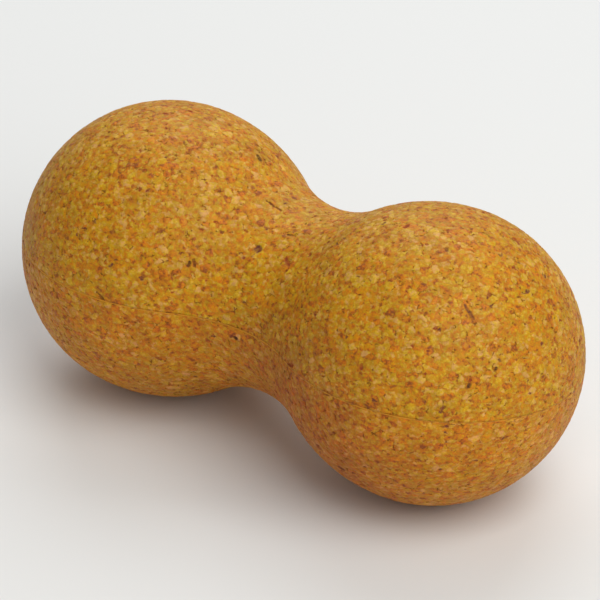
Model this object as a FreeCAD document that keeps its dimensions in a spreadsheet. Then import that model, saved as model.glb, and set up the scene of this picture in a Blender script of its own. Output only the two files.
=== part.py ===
import FreeCAD, Part
import math
import os
import Sketcher
from FreeCAD import Vector

# Double-lobed cork massage ball.
#
# Two cork boards are glued face to face and the block is turned to the shape of two balls joined by
# a waist. The long axis runs along X and +Z is up. A ball has no base of its own, so the origin is
# its centre, on the long axis at the middle of the waist. All sizes are in millimetres and degrees.

# Each driving dimension: alias, value, what it is.
DIMENSIONS = [
    ("overall_length", 160.0, "pole to pole along the long axis"),
    ("lobe_diameter", 76.0, "largest diameter of each lobe, which is also its cap's diameter"),
    ("shoulder_radius", 43.5, "radius of each lobe's profile between its equator and the waist"),
    ("waist_diameter", 50.2, "smallest diameter, halfway between the lobes"),
    ("glue_thickness", 0.3, "thickness of the adhesive film between the halves"),
    ("bond_roll", 8.0, "how far the ball has rolled, which lifts the bond's edge on the -Y side"),
]

# How far a cutting rectangle reaches past the turned body.
CUT_MARGIN = 5.0

H_AXIS = -1
V_AXIS = -2
ORIGIN_POINT = (-1, 1)
START, END, CENTRE = 1, 2, 3

doc = FreeCAD.newDocument("cork_duo_ball")


def make_sheet():
    """The spreadsheet that holds every driving dimension."""
    sheet = doc.addObject("Spreadsheet::Sheet", "dims")
    sheet.set("A1", "name")
    sheet.set("B1", "value")
    sheet.set("C1", "meaning")
    for row, (alias, value, meaning) in enumerate(DIMENSIONS, start=2):
        sheet.set(f"A{row}", alias)
        sheet.set(f"B{row}", str(value))
        sheet.set(f"C{row}", meaning)
        sheet.setAlias(f"B{row}", alias)
    doc.recompute()
    return sheet


def origin_part(body, role):
    """One of the body's own origin planes or axes, found by its role."""
    for feature in body.Origin.OriginFeatures:
        if feature.Role == role:
            return feature
    raise RuntimeError(f"{body.Name} has no {role}")


def arc(centre_x, centre_y, radius, start_angle, end_angle):
    """An arc in the sketch's plane, counter-clockwise between two angles in radians."""
    circle = Part.Circle(Vector(centre_x, centre_y, 0), Vector(0, 0, 1), radius)
    return Part.ArcOfCircle(circle, start_angle, end_angle)


def profile_sketch(body, sheet):
    """Half of the body's outline: cap, shoulder, waist, shoulder and cap, closed along the axis."""
    cap = sheet.lobe_diameter / 2
    shoulder = sheet.shoulder_radius
    waist = sheet.waist_diameter / 2
    half_length = sheet.overall_length / 2
    lobe_x = half_length - cap
    # The shoulder's centre is below the axis, straight under the cap's, so both are tangent at the
    # equator. The waist's radius is the one that makes it tangent to both shoulders.
    shoulder_y = cap - shoulder
    drop = waist - shoulder_y
    hollow = (lobe_x**2 + drop**2 - shoulder**2) / (2 * (shoulder - drop))
    hollow_y = waist + hollow
    blend = math.atan2(hollow_y - shoulder_y, lobe_x)

    sketch = body.newObject("Sketcher::SketchObject", body.Name + "_outline")
    sketch.AttachmentSupport = [(origin_part(body, "XY_Plane"), "")]
    sketch.MapMode = "FlatFace"
    quarter = math.pi / 2
    right_cap = sketch.addGeometry(arc(lobe_x, 0, cap, 0, quarter))
    right_shoulder = sketch.addGeometry(arc(lobe_x, shoulder_y, shoulder, quarter, math.pi - blend))
    hollow_arc = sketch.addGeometry(arc(0, hollow_y, hollow, math.pi + blend, 2 * math.pi - blend))
    left_shoulder = sketch.addGeometry(arc(-lobe_x, shoulder_y, shoulder, blend, quarter))
    left_cap = sketch.addGeometry(arc(-lobe_x, 0, cap, quarter, math.pi))
    axis_line = sketch.addGeometry(
        Part.LineSegment(Vector(-half_length, 0, 0), Vector(half_length, 0, 0)))
    waist_line = sketch.addGeometry(Part.LineSegment(Vector(0, 0, 0), Vector(0, waist, 0)), True)

    def constrain(kind, *where):
        return sketch.addConstraint(Sketcher.Constraint(kind, *where))

    constrain("Tangent", right_cap, END, right_shoulder, START)
    constrain("Tangent", right_shoulder, END, hollow_arc, END)
    constrain("Tangent", hollow_arc, START, left_shoulder, START)
    constrain("Tangent", left_shoulder, END, left_cap, START)
    constrain("Coincident", left_cap, END, axis_line, START)
    constrain("Coincident", axis_line, END, right_cap, START)
    constrain("PointOnObject", right_cap, CENTRE, H_AXIS)
    constrain("PointOnObject", left_cap, CENTRE, H_AXIS)
    constrain("PointOnObject", right_cap, START, H_AXIS)
    constrain("PointOnObject", left_cap, END, H_AXIS)
    constrain("Vertical", right_cap, CENTRE, right_shoulder, CENTRE)
    constrain("Vertical", left_cap, CENTRE, left_shoulder, CENTRE)
    constrain("PointOnObject", hollow_arc, CENTRE, V_AXIS)
    constrain("Equal", right_cap, left_cap)
    constrain("Equal", right_shoulder, left_shoulder)
    constrain("Coincident", waist_line, START, *ORIGIN_POINT)
    constrain("PointOnObject", waist_line, END, V_AXIS)
    constrain("PointOnObject", waist_line, END, hollow_arc)
    length = constrain("DistanceX", left_cap, END, right_cap, START, 2 * half_length)
    cap_radius = constrain("Radius", right_cap, cap)
    shoulder_radius = constrain("Radius", right_shoulder, shoulder)
    waist_radius = constrain("Distance", waist_line, waist)
    sketch.setExpression(f"Constraints[{length}]", "dims.overall_length * 1 mm")
    sketch.setExpression(f"Constraints[{cap_radius}]", "dims.lobe_diameter / 2 * 1 mm")
    sketch.setExpression(f"Constraints[{shoulder_radius}]", "dims.shoulder_radius * 1 mm")
    sketch.setExpression(f"Constraints[{waist_radius}]", "dims.waist_diameter / 2 * 1 mm")
    return sketch


def cut_sketch(body, sheet, face):
    """A rectangle, seen along Y, from one face of the glue film out past the whole body.

    face is +1 when the rectangle starts at the film's top face and covers what lies below it, or -1
    when it starts at the bottom face and covers what lies above.
    """
    near = face * sheet.glue_thickness / 2
    far = -face * (sheet.lobe_diameter / 2 + CUT_MARGIN)
    reach = sheet.overall_length / 2 + CUT_MARGIN
    corners = [
        Vector(-reach, near, 0),
        Vector(reach, near, 0),
        Vector(reach, far, 0),
        Vector(-reach, far, 0),
    ]
    sketch = body.newObject("Sketcher::SketchObject", body.Name + "_cut_outline")
    sketch.AttachmentSupport = [(origin_part(body, "XZ_Plane"), "")]
    sketch.MapMode = "FlatFace"
    near_edge, right_edge, far_edge, left_edge = [
        sketch.addGeometry(Part.LineSegment(corner, following))
        for corner, following in zip(corners, corners[1:] + corners[:1])
    ]

    def constrain(kind, *where):
        return sketch.addConstraint(Sketcher.Constraint(kind, *where))

    def hold_height(edge, above, value, expression):
        """Hold an edge's start that far above or below the sketch's origin."""
        ends = [ORIGIN_POINT, (edge, START)]
        low, high = ends if above else reversed(ends)
        index = constrain("DistanceY", *low, *high, value)
        sketch.setExpression(f"Constraints[{index}]", expression)

    constrain("Coincident", near_edge, END, right_edge, START)
    constrain("Coincident", right_edge, END, far_edge, START)
    constrain("Coincident", far_edge, END, left_edge, START)
    constrain("Coincident", left_edge, END, near_edge, START)
    constrain("Horizontal", far_edge)
    constrain("Vertical", left_edge)
    constrain("Vertical", right_edge)
    constrain("Symmetric", near_edge, START, near_edge, END, V_AXIS)
    width = constrain("DistanceX", near_edge, START, near_edge, END, 2 * reach)
    sketch.setExpression(f"Constraints[{width}]", f"(dims.overall_length + 2 * {CUT_MARGIN}) * 1 mm")
    hold_height(near_edge, face > 0, abs(near), "dims.glue_thickness / 2 * 1 mm")
    hold_height(far_edge, face < 0, abs(far), f"(dims.lobe_diameter / 2 + {CUT_MARGIN}) * 1 mm")
    return sketch


def new_piece(name):
    """An empty body for one piece, rolled about the long axis as the ball lies."""
    body = doc.addObject("PartDesign::Body", name)
    body.Label = name
    # The rotation is about -X, so that a positive roll lifts what faces -Y.
    body.Placement = FreeCAD.Placement(Vector(0, 0, 0), FreeCAD.Rotation(Vector(-1, 0, 0), 1))
    body.setExpression("Placement.Rotation.Angle", "dims.bond_roll * 1 deg")
    return body


def cork_half(name, sheet, face):
    """One cork half: the whole ball turned about X, with the other half and the film cut away."""
    body = new_piece(name)
    turned = body.newObject("PartDesign::Revolution", name + "_turned")
    turned.Profile = profile_sketch(body, sheet)
    turned.ReferenceAxis = (origin_part(body, "X_Axis"), [""])
    turned.Angle = 360.0
    split = body.newObject("PartDesign::Pocket", name + "_split")
    split.Profile = cut_sketch(body, sheet, face)
    split.SideType = "Symmetric"
    split.setExpression("Length", f"(dims.lobe_diameter + 2 * {CUT_MARGIN}) * 1 mm")
    doc.recompute()
    kept = split.Shape.Volume / turned.Shape.Volume
    if not 0.48 < kept < 0.5:
        raise RuntimeError(f"{name}: the split keeps {kept:.3f} of the ball, which isn't a half")
    return body


def cork_half_upper(sheet):
    """The upper cork half: everything above the top face of the glue film."""
    return cork_half("cork_half_upper", sheet, +1)


def cork_half_lower(sheet):
    """The lower cork half: everything below the bottom face of the glue film."""
    return cork_half("cork_half_lower", sheet, -1)


def glue_line(sheet):
    """The adhesive film between the halves: a thin sheet with the ball's own outline."""
    body = new_piece("glue_line")
    film = body.newObject("PartDesign::Pad", "glue_line_film")
    film.Profile = profile_sketch(body, sheet)
    film.SideType = "Symmetric"
    film.setExpression("Length", "dims.glue_thickness * 1 mm")
    doc.recompute()
    both_sides = body.newObject("PartDesign::Mirrored", "glue_line_both_sides")
    both_sides.Originals = [film]
    both_sides.MirrorPlane = (origin_part(body, "XZ_Plane"), [""])
    both_sides.Refine = True
    body.Tip = both_sides
    doc.recompute()
    if abs(both_sides.Shape.Volume / film.Shape.Volume - 2) > 0.001:
        raise RuntimeError("glue_line: the mirror didn't double the film")
    return body


def check_document(pieces):
    """Stop if any object failed to compute or any piece isn't one valid solid."""
    for item in doc.Objects:
        if "Invalid" in item.State or "Error" in item.State:
            raise RuntimeError(f"{item.Name} is {item.State}")
    for piece in pieces:
        if piece.Shape.isNull() or not piece.Shape.isValid() or len(piece.Shape.Solids) != 1:
            raise RuntimeError(f"{piece.Label} isn't one valid solid")


def write_steps(pieces):
    """Write each piece to its own STEP file, named after its label."""
    os.makedirs("parts", exist_ok=True)
    for piece in pieces:
        box = piece.Shape.BoundBox
        piece.Shape.exportStep(f"parts/{piece.Label}.step")
        print(f"{piece.Label}: {piece.Shape.Volume / 1000:.2f} cm3, {box.XLength:.2f} x "
              f"{box.YLength:.2f} x {box.ZLength:.2f} mm, Z {box.ZMin:.2f} to {box.ZMax:.2f}")


dims = make_sheet()
pieces = [cork_half_upper(dims), cork_half_lower(dims), glue_line(dims)]
doc.recompute()
check_document(pieces)
write_steps(pieces)
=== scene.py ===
import math
import random

import bpy
import numpy as np
from mathutils import Matrix, Vector


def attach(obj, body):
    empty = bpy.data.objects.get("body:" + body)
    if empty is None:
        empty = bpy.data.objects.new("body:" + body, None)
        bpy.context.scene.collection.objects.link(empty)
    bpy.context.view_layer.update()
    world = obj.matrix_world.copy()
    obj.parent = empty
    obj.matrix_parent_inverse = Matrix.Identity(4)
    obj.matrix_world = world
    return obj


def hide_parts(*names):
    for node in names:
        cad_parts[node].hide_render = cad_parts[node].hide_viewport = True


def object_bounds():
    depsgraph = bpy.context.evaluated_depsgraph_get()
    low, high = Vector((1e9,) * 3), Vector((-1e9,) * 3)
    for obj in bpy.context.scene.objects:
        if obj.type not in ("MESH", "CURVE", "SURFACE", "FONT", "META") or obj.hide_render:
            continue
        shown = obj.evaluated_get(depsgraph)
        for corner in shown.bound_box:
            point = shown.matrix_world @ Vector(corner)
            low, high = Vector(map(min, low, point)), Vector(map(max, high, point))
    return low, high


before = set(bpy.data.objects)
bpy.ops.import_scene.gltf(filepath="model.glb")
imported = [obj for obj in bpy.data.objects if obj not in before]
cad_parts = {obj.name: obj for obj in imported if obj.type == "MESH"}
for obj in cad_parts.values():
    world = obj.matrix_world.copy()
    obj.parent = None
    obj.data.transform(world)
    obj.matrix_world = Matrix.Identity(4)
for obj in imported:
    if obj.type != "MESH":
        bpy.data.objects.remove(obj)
cad_low, cad_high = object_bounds()

# The ball: its length and lobes are the frame's own, and the rest of its outline is as in the CAD.
MM = 0.001
HALF_LENGTH = cad_high.x
LOBE_RADIUS = cad_high.z
SHOULDER_RADIUS = 43.5 * MM
WAIST_RADIUS = 25.1 * MM
GLUE_THICKNESS = 0.3 * MM
BOND_ROLL = math.radians(8)
FLOOR_Z = cad_low.z

# The distance between neighbouring points of the cork's surface mesh.
MESH_STEP = 0.48 * MM


# ---------------------------------------------------------------- the turned outline

def outline_points(step):
    """x, radius and outward normal of the outline, from the +X pole to the -X pole, step apart."""
    lobe_x = HALF_LENGTH - LOBE_RADIUS
    shoulder_y = LOBE_RADIUS - SHOULDER_RADIUS
    drop = WAIST_RADIUS - shoulder_y
    hollow = (lobe_x**2 + drop**2 - SHOULDER_RADIUS**2) / (2 * (SHOULDER_RADIUS - drop))
    hollow_y = WAIST_RADIUS + hollow
    turn = math.pi / 2 - math.atan2(hollow_y - shoulder_y, lobe_x)
    cap_length = LOBE_RADIUS * math.pi / 2
    shoulder_length = SHOULDER_RADIUS * turn
    half_length = cap_length + shoulder_length + hollow * turn

    count = round(2 * half_length / step)
    along = np.linspace(0, 2 * half_length, count + 1)
    side = np.where(along > half_length, -1.0, 1.0)
    s = np.minimum(along, 2 * half_length - along)
    cap = s < cap_length
    shoulder = ~cap & (s < cap_length + shoulder_length)
    lobe_angle = np.where(cap, s / LOBE_RADIUS, math.pi / 2 + (s - cap_length) / SHOULDER_RADIUS)
    lobe_radius = np.where(cap, LOBE_RADIUS, SHOULDER_RADIUS)
    lobe_y = np.where(cap, 0.0, shoulder_y)
    hollow_angle = (half_length - s) / hollow
    on_lobe = cap | shoulder
    x = np.where(on_lobe, lobe_x + lobe_radius * np.cos(lobe_angle), hollow * np.sin(hollow_angle))
    r = np.where(on_lobe, lobe_y + lobe_radius * np.sin(lobe_angle), hollow_y - hollow * np.cos(hollow_angle))
    normal_x = np.where(on_lobe, np.cos(lobe_angle), -np.sin(hollow_angle))
    normal_r = np.where(on_lobe, np.sin(lobe_angle), np.cos(hollow_angle))
    return side * x, r, side * normal_x, normal_r


# ---------------------------------------------------------------- cork halves as meshes

def half_shell(side):
    """Points, normals and faces of one smooth cork half, in the board's own frame.

    side is +1 for the half above the glue film or -1 for the half below it. The turned surface is a
    row of rings with evenly spaced points, stitched with triangles, and the bonded face is a row of
    thin strips from one edge to the other.
    """
    edge_z = GLUE_THICKNESS / 2
    x, r, normal_x, normal_r = outline_points(MESH_STEP)
    inside = r > edge_z * 1.5
    points, normals, rings = [], [], []

    def add_ring(ring_x, ring_r, nx, nr, angles):
        rings.append(range(len(points), len(points) + len(angles)))
        for angle in angles:
            points.append((ring_x, ring_r * math.cos(angle), side * ring_r * math.sin(angle)))
            normals.append((nx, nr * math.cos(angle), side * nr * math.sin(angle)))

    add_ring(x[0], edge_z, 1.0, 0.0, [math.pi / 2])
    for ring_x, ring_r, nx, nr in zip(x[inside], r[inside], normal_x[inside], normal_r[inside]):
        edge = math.asin(edge_z / ring_r)
        count = max(2, round(ring_r * (math.pi - 2 * edge) / MESH_STEP))
        add_ring(ring_x, ring_r, nx, nr, np.linspace(edge, math.pi - edge, count + 1))
    add_ring(x[-1], edge_z, -1.0, 0.0, [math.pi / 2])

    faces = []
    for this, following in zip(rings, rings[1:]):
        i, j = 0, 0
        while i < len(this) - 1 or j < len(following) - 1:
            next_i = (i + 1) / max(len(this) - 1, 1) if i < len(this) - 1 else 2.0
            next_j = (j + 1) / max(len(following) - 1, 1) if j < len(following) - 1 else 2.0
            if next_i < next_j:
                faces.append((this[i], this[i + 1], following[j]))
                i += 1
            else:
                faces.append((this[i], following[j + 1], following[j]))
                j += 1
        bonded = (this[0], following[0], following[-1], this[-1])
        faces.append(tuple(dict.fromkeys(bonded)))
    if side < 0:
        faces = [face[::-1] for face in faces]
    edges = [end for ring in rings for end in (ring[0], ring[-1])]
    return np.array(points), np.array(normals), faces, edges


def mesh_object(name, points, faces):
    """A new mesh object at the origin, with its place in its points."""
    mesh = bpy.data.meshes.new(name)
    mesh.from_pydata(points.tolist(), [], faces)
    mesh.update()
    made = bpy.data.objects.new(name, mesh)
    bpy.context.scene.collection.objects.link(made)
    return made


# ---------------------------------------------------------------- node building

class Nodes:
    """Adds nodes to one tree. A socket's value is a number, a tuple or another node's output."""

    def __init__(self, tree):
        self.tree = tree

    def add(self, kind, inputs=None, **settings):
        node = self.tree.nodes.new(kind)
        for name, value in settings.items():
            setattr(node, name, value)
        for name, value in (inputs or {}).items():
            self.put(node.inputs[name], value)
        return node

    def put(self, socket, value):
        if isinstance(value, bpy.types.NodeSocket):
            self.tree.links.new(value, socket)
        else:
            socket.default_value = value

    def maths(self, operation, *values, clamp=False):
        node = self.add("ShaderNodeMath", dict(enumerate(values)), operation=operation)
        node.use_clamp = clamp
        return node.outputs[0]

    def vector(self, operation, *values):
        return self.add("ShaderNodeVectorMath", dict(enumerate(values)), operation=operation).outputs[0]

    def scaled(self, vector, factor):
        node = self.add("ShaderNodeVectorMath", {0: vector, "Scale": factor}, operation="SCALE")
        return node.outputs[0]

    def ramp(self, value, low, high, to_low=0.0, to_high=1.0, smooth=True):
        """value mapped from low..high to to_low..to_high, and held at the ends."""
        kind = "SMOOTHSTEP" if smooth else "LINEAR"
        inputs = {"Value": value, "From Min": low, "From Max": high, "To Min": to_low, "To Max": to_high}
        return self.add("ShaderNodeMapRange", inputs, interpolation_type=kind).outputs[0]

    def blend(self, share, first, second):
        """The number first where share is 0, and second where it is 1."""
        return self.maths("ADD", self.maths("MULTIPLY", self.maths("SUBTRACT", second, first), share), first)

    def noise(self, place, scale, detail=2.0, roughness=0.5):
        inputs = {"Vector": place, "Scale": scale, "Detail": detail, "Roughness": roughness}
        return self.add("ShaderNodeTexNoise", inputs)

    def cells(self, place, scale, feature="F1"):
        return self.add("ShaderNodeTexVoronoi", {"Vector": place, "Scale": scale}, feature=feature)

    def parts(self, vector):
        return self.add("ShaderNodeSeparateXYZ", {0: vector}).outputs


# ---------------------------------------------------------------- agglomerated cork

BIG_GRANULE = 2.0
SMALL_GRANULE = 1.15

# The flecks and cracks that stand out in each half, by colour: how many there are, their shortest
# and longest length, and their narrowest and widest width, in millimetres. Long ones are rare.
MARKS = {
    "crack": (15, 1.5, 6.0, 0.5, 0.8),
    "dark": (9, 1.2, 2.6, 0.9, 1.3),
    "purple": (9, 1.4, 5.0, 0.8, 2.1),
    "red": (6, 1.6, 3.6, 0.7, 1.3),
}


# How far from the ball's poles the marks stay, in millimetres.
CLEAR_OF_POLE = 3.0
# How far the edge of a crack and of any other mark is blurred, in millimetres each way.
CRACK_BLUR = 0.1
FLECK_BLUR = 0.22


def board_place(n, position, seed):
    """Where a point is in its cork board, in millimetres, with the board's thickness along Z."""
    unrolled = n.add("ShaderNodeVectorRotate", {
        "Vector": position,
        "Angle": BOND_ROLL,
    }, rotation_type="X_AXIS")
    return n.vector("ADD", n.scaled(unrolled.outputs[0], 1 / MM), seed)


def mark_depths(n, place, side, seed):
    """How deep a place is inside the marks of one half, by colour, in millimetres from their edges."""
    wander = n.noise(place, 0.9, detail=3.0)
    away = n.scaled(n.vector("SUBTRACT", wander.outputs["Color"], (0.5, 0.5, 0.5)), 0.9)
    place = n.vector("ADD", place, away)
    dice = random.Random(int(seed[0]))
    depths = {}
    kinds = [(colour, sizes[1:]) for colour, sizes in MARKS.items() for _ in range(sizes[0])]
    for colour, (shortest, longest, narrowest, widest) in kinds:
        x = dice.uniform(-1.0, 1.0) * (HALF_LENGTH / MM - CLEAR_OF_POLE)
        centre, along, across = surface_place(x, side * dice.uniform(0.0, math.pi))
        length = shortest + (longest - shortest) * dice.random() ** 2
        width = dice.uniform(narrowest, widest)
        lean = dice.uniform(-math.pi / 2, math.pi / 2)
        heading = along * math.cos(lean) + across * math.sin(lean)
        half_line = max(length - width, 0.1) / 2
        local = n.vector("SUBTRACT", place, centre + Vector(seed))
        reach = n.add("ShaderNodeVectorMath", {0: local, 1: heading}, operation="DOT_PRODUCT")
        held = n.add("ShaderNodeClamp", {
            "Value": reach.outputs["Value"],
            "Min": -half_line,
            "Max": half_line,
        }).outputs[0]
        nearest = n.add("ShaderNodeVectorMath", {0: heading, "Scale": held}, operation="SCALE").outputs[0]
        distance = n.add("ShaderNodeVectorMath", {0: local, 1: nearest}, operation="DISTANCE")
        depth = n.maths("SUBTRACT", width / 2, distance.outputs["Value"])
        depths[colour] = n.maths("MAXIMUM", depths[colour], depth) if colour in depths else depth
    return depths


def surface_place(x, around):
    """A place on the smooth ball in its board's frame, and the directions along and round it there."""
    xs, rs, normal_x, normal_r = outline_points(0.1 * MM)
    nearest = int(np.argmin(np.abs(xs / MM - x)))
    r = rs[nearest] / MM
    outwards = Vector((0.0, math.cos(around), math.sin(around)))
    across = Vector((0.0, -math.sin(around), math.cos(around)))
    along = Vector((normal_r[nearest], 0.0, 0.0)) - outwards * normal_x[nearest]
    return Vector((x, 0.0, 0.0)) + outwards * r, along, across


def cork_pattern(n, place):
    """The granules, gaps and bark flecks of agglomerated cork at a place in its board.

    The same nodes shape the surface and colour it. Granules are flattened along the board's
    thickness, because the boards are pressed.
    """
    drift = n.noise(place, 0.55, detail=5.0, roughness=0.75)
    bend = n.scaled(n.vector("SUBTRACT", drift.outputs["Color"], (0.5, 0.5, 0.5)), 2.3)
    bent = n.vector("MULTIPLY", n.vector("ADD", place, bend), (1.0, 1.0, 1.4))

    big = n.cells(bent, 1 / BIG_GRANULE)
    small = n.cells(bent, 1 / SMALL_GRANULE)
    big_edge = n.cells(bent, 1 / BIG_GRANULE, "DISTANCE_TO_EDGE").outputs["Distance"]
    small_edge = n.cells(bent, 1 / SMALL_GRANULE, "DISTANCE_TO_EDGE").outputs["Distance"]
    big_dice = n.parts(big.outputs["Color"])
    small_dice = n.parts(small.outputs["Color"])
    crumbled = n.maths("GREATER_THAN", big_dice[0], 0.35)
    colour_dice = n.blend(crumbled, big_dice[1], small_dice[1])
    height_dice = n.blend(crumbled, big_dice[2], small_dice[2])
    far = n.maths("MULTIPLY", n.maths("SUBTRACT", 1.0, crumbled), 10.0)
    edge = n.maths("MINIMUM", n.maths("MULTIPLY", big_edge, BIG_GRANULE),
                   n.maths("ADD", n.maths("MULTIPLY", small_edge, SMALL_GRANULE), far))

    # Gaps open here and there between the bigger granules.
    gap_places = n.noise(place, 0.7, detail=2.0, roughness=0.6).outputs["Fac"]
    gap_width = n.ramp(gap_places, 0.5, 0.7, -0.05, 0.2, smooth=False)
    gap_depth = n.maths("SUBTRACT", gap_width, n.maths("MULTIPLY", big_edge, BIG_GRANULE))

    # A few granules are bark, more of them in some places than in others.
    crowd = n.noise(place, 0.05, detail=1.0).outputs["Fac"]
    bark_share = n.ramp(crowd, 0.35, 0.65, 0.005, 0.022)
    bark_dice = n.maths("FRACT", n.maths("MULTIPLY", small_dice[1], 37.0))
    is_bark = n.maths("LESS_THAN", bark_dice, bark_share)
    fleck_depth = n.maths("SUBTRACT", n.maths("MULTIPLY", small_edge, SMALL_GRANULE),
                          n.maths("SUBTRACT", 1.0, is_bark))
    return {
        "edge": edge,
        "gap_depth": gap_depth,
        "colour_dice": colour_dice,
        "height_dice": height_dice,
        "fleck_depth": fleck_depth,
        "fleck_dice": small_dice[0],
    }


def relief_nodes(side, seed):
    """Geometry nodes that store how far, in millimetres, each point stands off the turned surface."""
    tree = bpy.data.node_groups.new("cork_relief", "GeometryNodeTree")
    tree.interface.new_socket("Geometry", in_out="INPUT", socket_type="NodeSocketGeometry")
    tree.interface.new_socket("Geometry", in_out="OUTPUT", socket_type="NodeSocketGeometry")
    n = Nodes(tree)
    place = board_place(n, n.add("GeometryNodeInputPosition").outputs[0], seed)
    cork = cork_pattern(n, place)
    step = n.ramp(cork["height_dice"], 0.0, 1.0, -0.05, 0.03, smooth=False)
    dome = n.ramp(cork["edge"], 0.0, 0.45, -0.05, 0.0)
    gap = n.ramp(cork["gap_depth"], -0.3, 0.2, 0.0, -0.3)
    hollow = cork["fleck_depth"]
    for depth in mark_depths(n, place, side, seed).values():
        hollow = n.maths("MAXIMUM", hollow, depth)
    pit = n.ramp(hollow, -0.1, 0.6, 0.0, -0.32)
    relief = n.maths("ADD", n.maths("ADD", step, dome), n.maths("ADD", gap, pit))
    store = n.add("GeometryNodeStoreNamedAttribute", {"Name": "relief"}, data_type="FLOAT", domain="POINT")
    n.put(store.inputs["Value"], relief)
    n.put(store.inputs["Geometry"], n.add("NodeGroupInput").outputs[0])
    n.put(n.add("NodeGroupOutput").inputs[0], store.outputs["Geometry"])
    return tree


def read_relief(piece, side, seed):
    """The relief of each point of a smooth half, in metres."""
    modifier = piece.modifiers.new("relief", "NODES")
    modifier.node_group = relief_nodes(side, seed)
    graph = bpy.context.evaluated_depsgraph_get()
    shaped = piece.evaluated_get(graph).to_mesh()
    relief = np.zeros(len(shaped.vertices))
    shaped.attributes["relief"].data.foreach_get("value", relief)
    piece.evaluated_get(graph).to_mesh_clear()
    piece.modifiers.remove(modifier)
    return relief * MM


def cork_half(name, side, seed, material):
    """One cork half: the turned surface with the relief of its granules, gaps and pits."""
    points, normals, faces, edges = half_shell(side)
    roll = np.array(Matrix.Rotation(-BOND_ROLL, 3, "X"))
    piece = mesh_object(name, points @ roll.T, faces)
    relief = read_relief(piece, side, seed)
    # Along the bond the cork is sanded nearly flush with the glue, and it ends in the plane of its
    # own face, so there it moves only in that plane.
    relief[edges] *= 0.3
    normals[edges, 2] = 0
    # Where it rests and at its ends the ball keeps the size that it was turned to.
    moved = (points + normals * np.minimum(relief, 0)[:, None]) @ roll.T
    piece.data.vertices.foreach_set("co", moved.astype(np.float32).ravel())
    piece.data.update()
    smooth = [len(face) == 3 for face in faces]
    piece.data.polygons.foreach_set("use_smooth", smooth)
    piece.data.materials.append(material)
    return piece


def linear(red, green, blue):
    """A colour given as 0 to 255 on a screen, as the linear numbers that a shader takes."""
    def one(value):
        value /= 255
        return value / 12.92 if value <= 0.04045 else ((value + 0.055) / 1.055) ** 2.4

    return one(red), one(green), one(blue), 1.0


GRANULE_COLOURS = [
    (0.00, linear(142, 74, 22)),
    (0.12, linear(188, 98, 16)),
    (0.28, linear(202, 118, 8)),
    (0.43, linear(201, 131, 2)),
    (0.58, linear(193, 143, 4)),
    (0.72, linear(204, 158, 28)),
    (0.85, linear(210, 158, 62)),
    (1.00, linear(210, 150, 82)),
]
# The middle of the painted shade under the waist, and what the colour there is multiplied with to make it
# darker and redder.
WAIST_SHADE_CENTRE = (28 * MM, -29 * MM, -14 * MM)
WAIST_SHADE_TONE = (0.83, 0.67, 0.67)
BINDER_COLOUR = linear(184, 120, 8)
MARK_COLOURS = {
    "crack": linear(108, 58, 16),
    "dark": linear(78, 44, 24),
    "purple": linear(112, 60, 44),
    "red": linear(146, 62, 28),
}


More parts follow.
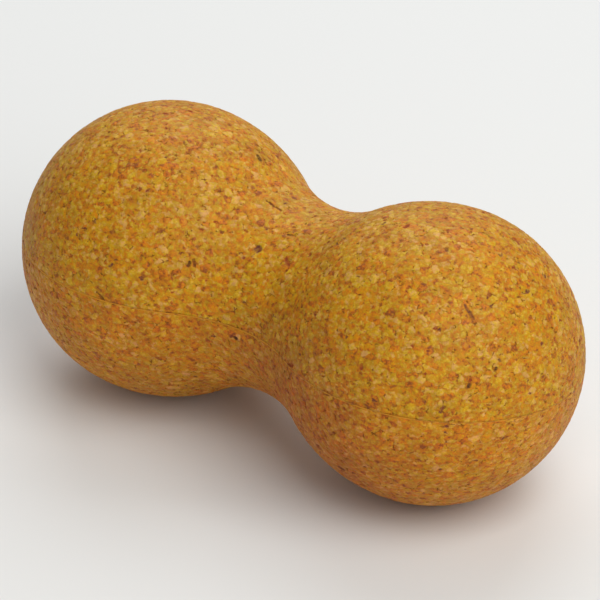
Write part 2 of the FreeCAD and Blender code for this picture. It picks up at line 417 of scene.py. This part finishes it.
def cork_material(name, side, seed, tone):
    """Agglomerated cork. tone is what the cork's colour is multiplied with: a tint of painted light on the
    upper half, a little yellower, and of painted shade on the lower half, redder and darker.
    """
    material = bpy.data.materials.new(name)
    material.use_nodes = True
    material.node_tree.nodes.clear()
    n = Nodes(material.node_tree)
    position = n.add("ShaderNodeTexCoord").outputs["Object"]
    place = board_place(n, position, seed)
    cork = cork_pattern(n, place)

    # A granule's own tone wanders a little inside it.
    clouds = n.parts(n.noise(place, 0.8, detail=5.0, roughness=0.7).outputs["Color"])
    cloudy = n.maths("MULTIPLY", n.maths("SUBTRACT", clouds[0], 0.5), 2.0)
    tone_dice = n.maths("ADD", n.ramp(cork["colour_dice"], 0.0, 1.0, 0.08, 0.92, smooth=False), cloudy)
    ramp = n.add("ShaderNodeValToRGB", {"Fac": tone_dice})
    stops = ramp.color_ramp.elements
    for at, colour in GRANULE_COLOURS[1:-1]:
        stops.new(at).color = colour
    stops[0].color = GRANULE_COLOURS[0][1]
    stops[-1].color = GRANULE_COLOURS[-1][1]

    # Inside a granule the cells of the bark run in fine lines, another way in each granule.
    turned = n.add("ShaderNodeVectorRotate", {
        "Vector": place,
        "Axis": (0.5, 0.3, 0.8),
        "Angle": n.maths("MULTIPLY", cork["height_dice"], 6.28),
    }, rotation_type="AXIS_ANGLE").outputs[0]
    drawn_out = n.vector("MULTIPLY", turned, (1.0, 6.0, 6.0))
    lines = n.noise(drawn_out, 0.8, detail=3.0, roughness=0.6).outputs["Fac"]
    mottle = n.noise(place, 2.2, detail=3.0, roughness=0.6).outputs["Fac"]
    light = n.maths("MULTIPLY", n.ramp(lines, 0.3, 0.7, 0.9, 1.1, smooth=False),
                    n.ramp(mottle, 0.3, 0.7, 0.95, 1.05, smooth=False))
    light = n.maths("MULTIPLY", light, n.ramp(clouds[1], 0.3, 0.7, 0.82, 1.18, smooth=False))
    broad = n.noise(place, 0.14, detail=3.0, roughness=0.6).outputs["Fac"]
    light = n.maths("MULTIPLY", light, n.ramp(broad, 0.3, 0.7, 0.88, 1.12, smooth=False))
    granule = n.ramp(cork["edge"], 0.0, 0.3, 0.5, 1.0)
    colour = mix_colour(n, granule, BINDER_COLOUR, ramp.outputs["Color"])
    colour = n.vector("MULTIPLY", n.scaled(colour, light), tone)

    # Between the waist and the front of the +X lobe, low down, the colour is darker and redder in patches:
    # painted shade under the waist.
    from_waist_shade = n.add("ShaderNodeVectorMath", {0: position, 1: WAIST_SHADE_CENTRE}, operation="DISTANCE")
    patches = n.ramp(n.noise(place, 0.45, detail=4.0, roughness=0.7).outputs["Fac"], 0.3, 0.6, 0.4, 1.3)
    near = n.ramp(from_waist_shade.outputs["Value"], 8 * MM, 42 * MM, 1.0, 0.0)
    waist_shade = n.maths("MULTIPLY", near, patches, clamp=True)
    colour = mix_colour(n, waist_shade, colour, n.vector("MULTIPLY", colour, WAIST_SHADE_TONE))

    # Flecks are mottled: cork shows through them here and there.
    worn = n.ramp(n.noise(place, 1.3, detail=2.0, roughness=0.6).outputs["Fac"], 0.4, 0.6, 0.7, 1.0)
    gap = n.ramp(cork["gap_depth"], -0.02, 0.12)
    fleck = n.maths("MULTIPLY", n.ramp(cork["fleck_depth"], -0.04, 0.2), worn)
    bark = mix_colour(n, n.ramp(cork["fleck_dice"], 0.2, 0.6), MARK_COLOURS["purple"], MARK_COLOURS["red"])
    colour = mix_colour(n, n.maths("MULTIPLY", gap, 0.8), colour, MARK_COLOURS["crack"])
    colour = mix_colour(n, fleck, colour, bark)
    for kind, depth in mark_depths(n, place, side, seed).items():
        blur = CRACK_BLUR if kind == "crack" else FLECK_BLUR
        inside = n.maths("MULTIPLY", n.ramp(depth, -blur, blur), worn)
        colour = mix_colour(n, inside, colour, MARK_COLOURS[kind])
        fleck = n.maths("MAXIMUM", fleck, inside)

    height = n.maths("ADD", n.maths("MULTIPLY", n.ramp(cork["edge"], 0.0, 0.25, 0.0, 1.0), 0.05),
                     n.maths("MULTIPLY", mottle, 0.08))
    height = n.maths("SUBTRACT", height, n.maths("MULTIPLY", n.maths("MAXIMUM", gap, fleck), 0.15))
    bump = n.add("ShaderNodeBump", {"Height": height, "Strength": 0.6, "Distance": 1.0 * MM})
    rough = n.ramp(n.maths("MAXIMUM", gap, fleck), 0.0, 1.0, 0.52, 0.85)
    surface = n.add("ShaderNodeBsdfPrincipled", {
        "Base Color": colour,
        "Roughness": rough,
        "Normal": bump.outputs["Normal"],
        "Specular IOR Level": 0.25,
    })
    n.put(n.add("ShaderNodeOutputMaterial").inputs["Surface"], surface.outputs["BSDF"])
    return material


def mix_colour(n, share, first, second):
    node = n.add("ShaderNodeMix", data_type="RGBA")
    n.put(node.inputs[0], share)
    n.put(node.inputs[6], first)
    n.put(node.inputs[7], second)
    return node.outputs[2]


# ---------------------------------------------------------------- the glue film

def glue_material():
    """Cured adhesive, stained by the cork it was sanded flush with."""
    material = bpy.data.materials.new("glue_film")
    material.use_nodes = True
    material.node_tree.nodes.clear()
    n = Nodes(material.node_tree)
    place = board_place(n, n.add("ShaderNodeTexCoord").outputs["Object"], (40.0, 7.0, 3.0))
    stain = n.noise(place, 0.35, detail=5.0, roughness=0.7).outputs["Fac"]
    # Towards the -X end it took on more of the cork's own colour.
    stain = n.maths("ADD", stain, n.ramp(n.parts(place)[0], -30.0, 50.0, 0.12, 0.0))
    colour = mix_colour(n, n.ramp(stain, 0.36, 0.56), linear(150, 88, 12), linear(204, 136, 18))
    surface = n.add("ShaderNodeBsdfPrincipled", {
        "Base Color": colour,
        "Roughness": n.ramp(stain, 0.3, 0.7, 0.45, 0.7),
        "Specular IOR Level": 0.4,
    })
    n.put(n.add("ShaderNodeOutputMaterial").inputs["Surface"], surface.outputs["BSDF"])
    return material


# ---------------------------------------------------------------- the studio

def floor():
    """A plain pale floor under the ball."""
    half = 3.0
    turns = ((-half, -half), (half, -half), (half, half), (-half, half))
    corners = np.array([(x, y, FLOOR_Z) for x, y in turns])
    piece = mesh_object("floor", corners, [(0, 1, 2, 3)])
    material = bpy.data.materials.new("floor")
    material.use_nodes = True
    surface = material.node_tree.nodes["Principled BSDF"]
    surface.inputs["Base Color"].default_value = (0.80, 0.80, 0.79, 1.0)
    surface.inputs["Roughness"].default_value = 0.9
    surface.inputs["Specular IOR Level"].default_value = 0.1
    piece.data.materials.append(material)


def direction(azimuth, elevation):
    a, e = math.radians(azimuth), math.radians(elevation)
    return Vector((math.sin(a) * math.cos(e), -math.cos(a) * math.cos(e), math.sin(e)))


LIGHT_SIZE = 1.0
LIGHT_DISTANCE = 1.2


def soft_light(name, azimuth, elevation, power, colour):
    """A square area light that faces the ball."""
    data = bpy.data.lights.new(name, "AREA")
    data.size = LIGHT_SIZE
    data.energy = power
    data.color = colour
    made = bpy.data.objects.new(name, data)
    towards = direction(azimuth, elevation)
    made.location = towards * LIGHT_DISTANCE
    made.rotation_euler = towards.to_track_quat("Z", "Y").to_euler()
    bpy.context.scene.collection.objects.link(made)


CAMERA_AZIMUTH = 37.2
CAMERA_ELEVATION = 32.0
CAMERA_DISTANCE = 1.585
SEEN_WIDTH = 152.05 * MM


def camera():
    """A long lens, looking at the ball's centre from the front right and above."""
    data = bpy.data.cameras.new("camera")
    data.sensor_width = 36.0
    data.lens = data.sensor_width * CAMERA_DISTANCE / SEEN_WIDTH
    data.clip_start = 0.1
    data.clip_end = 20.0
    made = bpy.data.objects.new("camera", data)
    towards = direction(CAMERA_AZIMUTH, CAMERA_ELEVATION)
    made.location = towards * CAMERA_DISTANCE
    made.rotation_euler = towards.to_track_quat("Z", "Y").to_euler()
    bpy.context.scene.collection.objects.link(made)
    bpy.context.scene.camera = made


def studio():
    floor()
    camera()
    world = bpy.data.worlds.new("studio")
    world.use_nodes = True
    background = world.node_tree.nodes["Background"]
    background.inputs["Color"].default_value = (1.0, 0.98, 0.96, 1.0)
    background.inputs["Strength"].default_value = 0.31
    scene = bpy.context.scene
    scene.world = world
    scene.view_settings.view_transform = "Standard"
    soft_light("key", CAMERA_AZIMUTH + 35, 50, 11.2, (1.0, 1.0, 0.98))
    soft_light("back", CAMERA_AZIMUTH + 175, 46, 7.4, (0.96, 1.0, 1.03))


# ---------------------------------------------------------------- the ball

# Where in its board's endless pattern each half lies. The first number also seeds its marks.
upper_seed = (11.0, 5.0, 20.0)
lower_seed = (71.0, 33.0, 50.0)
# Each material's last number is its tone: painted light on the upper half, a little yellower, and painted
# shade on the lower half, redder and darker.
upper = cork_half("cork_half_upper_shaped", 1, upper_seed,
                  cork_material("cork_upper", 1, upper_seed, (0.97, 1.01, 1.0)))
lower = cork_half("cork_half_lower_shaped", -1, lower_seed,
                  cork_material("cork_lower", -1, lower_seed, (0.98, 0.90, 0.90)))
for piece, node in ((upper, "cork_half_upper"), (lower, "cork_half_lower")):
    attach(piece, "root")
    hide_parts(node)

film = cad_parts["glue_line"]
film.data.materials.clear()
film.data.materials.append(glue_material())

studio()
